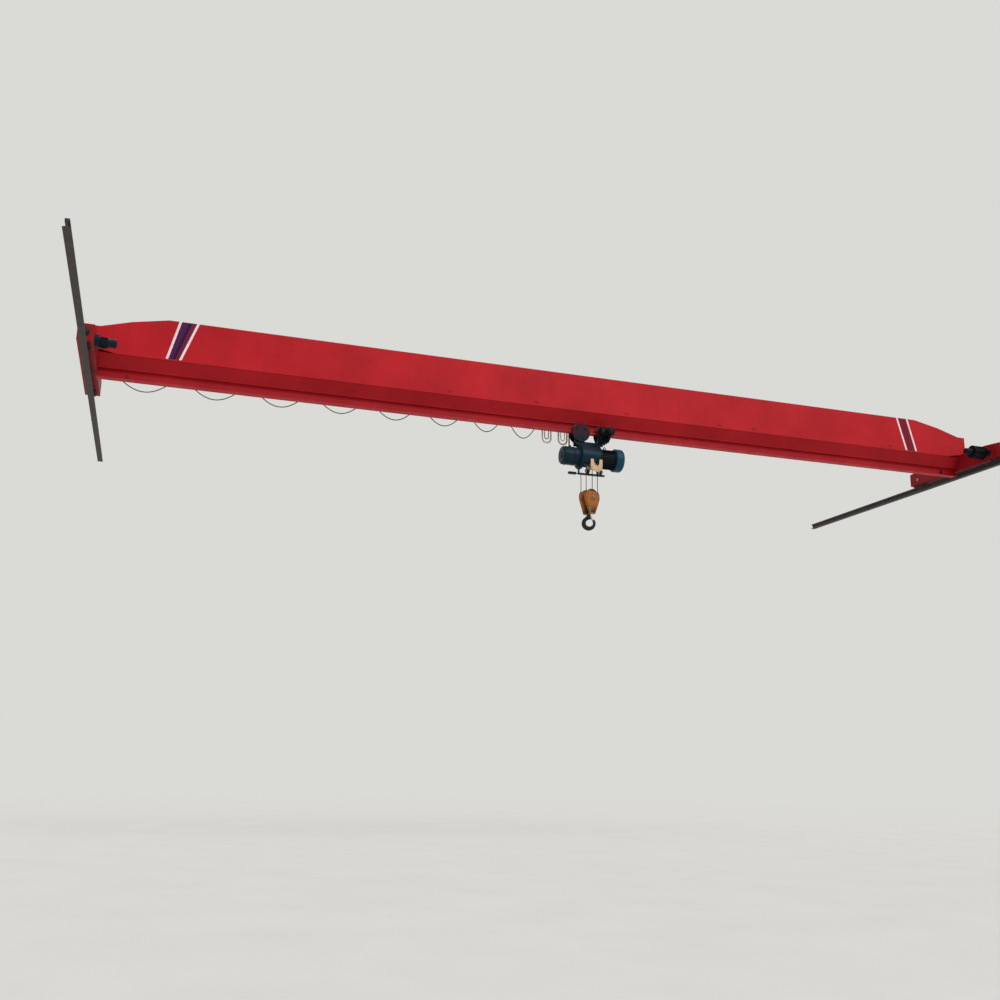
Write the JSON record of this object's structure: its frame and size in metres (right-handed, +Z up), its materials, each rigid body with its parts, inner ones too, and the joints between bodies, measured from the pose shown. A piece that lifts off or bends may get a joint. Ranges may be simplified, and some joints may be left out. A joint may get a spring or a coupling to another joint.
{
  "type": "overhead bridge crane",
  "caption": "Single girder overhead travelling crane on two lengths of rail, with an underslung wire rope hoist, hook block, swivel hook and festoon cable.",
  "frame": {"origin": "middle of the left rail's foot, on its underside, under the girder's centre line", "axes": "+X along the girder to the right rail, +Y along the runway, +Z up"},
  "size_m": [19.804, 12, 3.3],
  "materials": {
    "rail_steel": "dark rolled steel",
    "red_paint": "satin red paint",
    "primer": "matt primer",
    "bare_steel": "machined steel",
    "navy_paint": "satin navy paint",
    "black_paint": "satin black paint",
    "buffer_rubber": "matt rubber",
    "cable_rubber": "matt cable sheath",
    "cream_plastic": "moulded plastic",
    "wheel_steel": "cast steel",
    "teal_paint": "gloss teal paint",
    "cream_paint": "cream paint",
    "wire_rope": "greased wire rope",
    "ochre_paint": "ochre paint"
  },
  "bodies": {
    "runway": {"rail_left": "rail_steel", "rail_right": "rail_steel"},
    "bridge": {"girder_shell": "red_paint", "girder_slant_plates": "red_paint", "girder_end_plates": "red_paint", "girder_diaphragms": "primer", "track_beam": "red_paint", "carriage_left": "red_paint", "carriage_right": "red_paint", "girder_saddles": "red_paint", "wheel_axles": "bare_steel", "drive_gears": "navy_paint", "drive_motor_left": "navy_paint", "drive_motor_right": "black_paint", "buffers_left": "buffer_rubber", "buffers_right": "buffer_rubber", "trolley_stops": "red_paint", "festoon_wire": "bare_steel", "festoon_brackets": "red_paint", "festoon_cable": "cable_rubber", "festoon_carriers": "cream_plastic", "edge_lugs": "red_paint"},
    "wheel_left_front": {"wheel_left_front": "wheel_steel"},
    "wheel_left_rear": {"wheel_left_rear": "wheel_steel"},
    "wheel_right_front": {"wheel_right_front": "wheel_steel"},
    "wheel_right_rear": {"wheel_right_rear": "wheel_steel"},
    "trolley": {"trolley_frame_left": "navy_paint", "trolley_frame_right": "navy_paint", "trolley_gear": "black_paint", "trolley_motor": "black_paint", "hoist_frame": "navy_paint", "hoist_gear_case": "navy_paint", "hoist_gear_cap": "navy_paint", "drum_housing": "navy_paint", "hoist_motor": "navy_paint", "motor_cover": "teal_paint", "control_box": "navy_paint", "rope_guide": "cream_paint", "rope_frame": "black_paint", "tow_arm": "navy_paint", "festoon_bunch": "cream_plastic", "rope_falls": "wire_rope", "rope_leads": "wire_rope"},
    "drum": {"hoist_drum": "bare_steel"},
    "pulley_left": {"pulley_left": "cream_paint"},
    "pulley_right": {"pulley_right": "cream_paint"},
    "rollers_1": {"rollers_1": "wheel_steel"},
    "rollers_2": {"rollers_2": "wheel_steel"},
    "rollers_3": {"rollers_3": "wheel_steel"},
    "rollers_4": {"rollers_4": "wheel_steel"},
    "block": {"block_covers": "ochre_paint", "block_axle": "bare_steel", "block_crosshead": "black_paint"},
    "sheave_near": {"sheave_near": "wheel_steel"},
    "sheave_far": {"sheave_far": "wheel_steel"},
    "hook": {"hook": "black_paint"},
    "latch": {"hook_latch": "bare_steel"}
  },
  "joints": [
    {"name": "bridge_travel", "type": "slide", "parent": "runway", "child": "bridge", "axis": [0, 1, 0], "range_m": [-4, 4]},
    {"name": "wheel_left_front_spin", "type": "hinge", "parent": "bridge", "child": "wheel_left_front", "pos_m": [0, -1.25, 0.2693], "axis": [1, 0, 0], "continuous": true},
    {"name": "wheel_left_rear_spin", "type": "hinge", "parent": "bridge", "child": "wheel_left_rear", "pos_m": [0, 1.25, 0.2693], "axis": [1, 0, 0], "continuous": true},
    {"name": "wheel_right_front_spin", "type": "hinge", "parent": "bridge", "child": "wheel_right_front", "pos_m": [19.5, -1.25, 0.2693], "axis": [1, 0, 0], "continuous": true},
    {"name": "wheel_right_rear_spin", "type": "hinge", "parent": "bridge", "child": "wheel_right_rear", "pos_m": [19.5, 1.25, 0.2693], "axis": [1, 0, 0], "continuous": true},
    {"name": "trolley_travel", "type": "slide", "parent": "bridge", "child": "trolley", "axis": [1, 0, 0], "range_m": [-8.88, 8.52], "deforming": ["festoon_cable", "festoon_carriers"]},
    {"name": "rollers_1_spin", "type": "hinge", "parent": "trolley", "child": "rollers_1", "pos_m": [9.665, 0, 0.1053], "axis": [0, 1, 0], "continuous": true},
    {"name": "rollers_2_spin", "type": "hinge", "parent": "trolley", "child": "rollers_2", "pos_m": [9.855, 0, 0.1053], "axis": [0, 1, 0], "continuous": true},
    {"name": "rollers_3_spin", "type": "hinge", "parent": "trolley", "child": "rollers_3", "pos_m": [10.185, 0, 0.1053], "axis": [0, 1, 0], "continuous": true},
    {"name": "rollers_4_spin", "type": "hinge", "parent": "trolley", "child": "rollers_4", "pos_m": [10.375, 0, 0.1053], "axis": [0, 1, 0], "continuous": true},
    {"name": "hoist_lift", "type": "slide", "parent": "trolley", "child": "block", "axis": [0, 0, 1], "range_m": [-6, 0.15], "deforming": ["rope_falls"]},
    {"name": "drum_spin", "type": "hinge", "parent": "trolley", "child": "drum", "pos_m": [9.98, 0, -0.495], "axis": [1, 0, 0], "continuous": true},
    {"name": "pulley_left_spin", "type": "hinge", "parent": "trolley", "child": "pulley_left", "pos_m": [9.943, 0, -0.78], "axis": [0, 1, 0], "continuous": true},
    {"name": "pulley_right_spin", "type": "hinge", "parent": "trolley", "child": "pulley_right", "pos_m": [10.235, 0, -0.78], "axis": [0, 1, 0], "continuous": true},
    {"name": "sheave_near_spin", "type": "hinge", "parent": "block", "child": "sheave_near", "pos_m": [9.98, 0, -1.355], "axis": [-0.342, 0.9397, 0], "continuous": true},
    {"name": "sheave_far_spin", "type": "hinge", "parent": "block", "child": "sheave_far", "pos_m": [9.98, 0, -1.355], "axis": [-0.342, 0.9397, 0], "continuous": true},
    {"name": "hook_swivel", "type": "hinge", "parent": "block", "child": "hook", "pos_m": [9.98, 0, -1.615], "axis": [0, 0, 1], "continuous": true},
    {"name": "latch_pivot", "type": "hinge", "parent": "hook", "child": "latch", "pos_m": [9.99879, -0.00684, -1.748], "axis": [0.342, 0.9397, 0], "range_deg": [0, 20], "stiffness_Nm_per_rad": 0.5, "springref_deg": -28.65}
  ],
  "couplings": [
    {"joint": "wheel_left_front_spin", "follows": "bridge_travel", "rad_per_m": -7.4074},
    {"joint": "wheel_left_rear_spin", "follows": "bridge_travel", "rad_per_m": -7.4074},
    {"joint": "wheel_right_front_spin", "follows": "bridge_travel", "rad_per_m": -7.4074},
    {"joint": "wheel_right_rear_spin", "follows": "bridge_travel", "rad_per_m": -7.4074},
    {"joint": "rollers_1_spin", "follows": "trolley_travel", "rad_per_m": 14.925},
    {"joint": "rollers_2_spin", "follows": "trolley_travel", "rad_per_m": 14.925},
    {"joint": "rollers_3_spin", "follows": "trolley_travel", "rad_per_m": 14.925},
    {"joint": "rollers_4_spin", "follows": "trolley_travel", "rad_per_m": 14.925},
    {"joint": "drum_spin", "follows": "hoist_lift", "rad_per_m": 28.07},
    {"joint": "pulley_left_spin", "follows": "hoist_lift", "rad_per_m": 36.364},
    {"joint": "pulley_right_spin", "follows": "hoist_lift", "rad_per_m": 36.364},
    {"joint": "sheave_near_spin", "follows": "hoist_lift", "rad_per_m": 6.25},
    {"joint": "sheave_far_spin", "follows": "hoist_lift", "rad_per_m": -18.75}
  ]
}
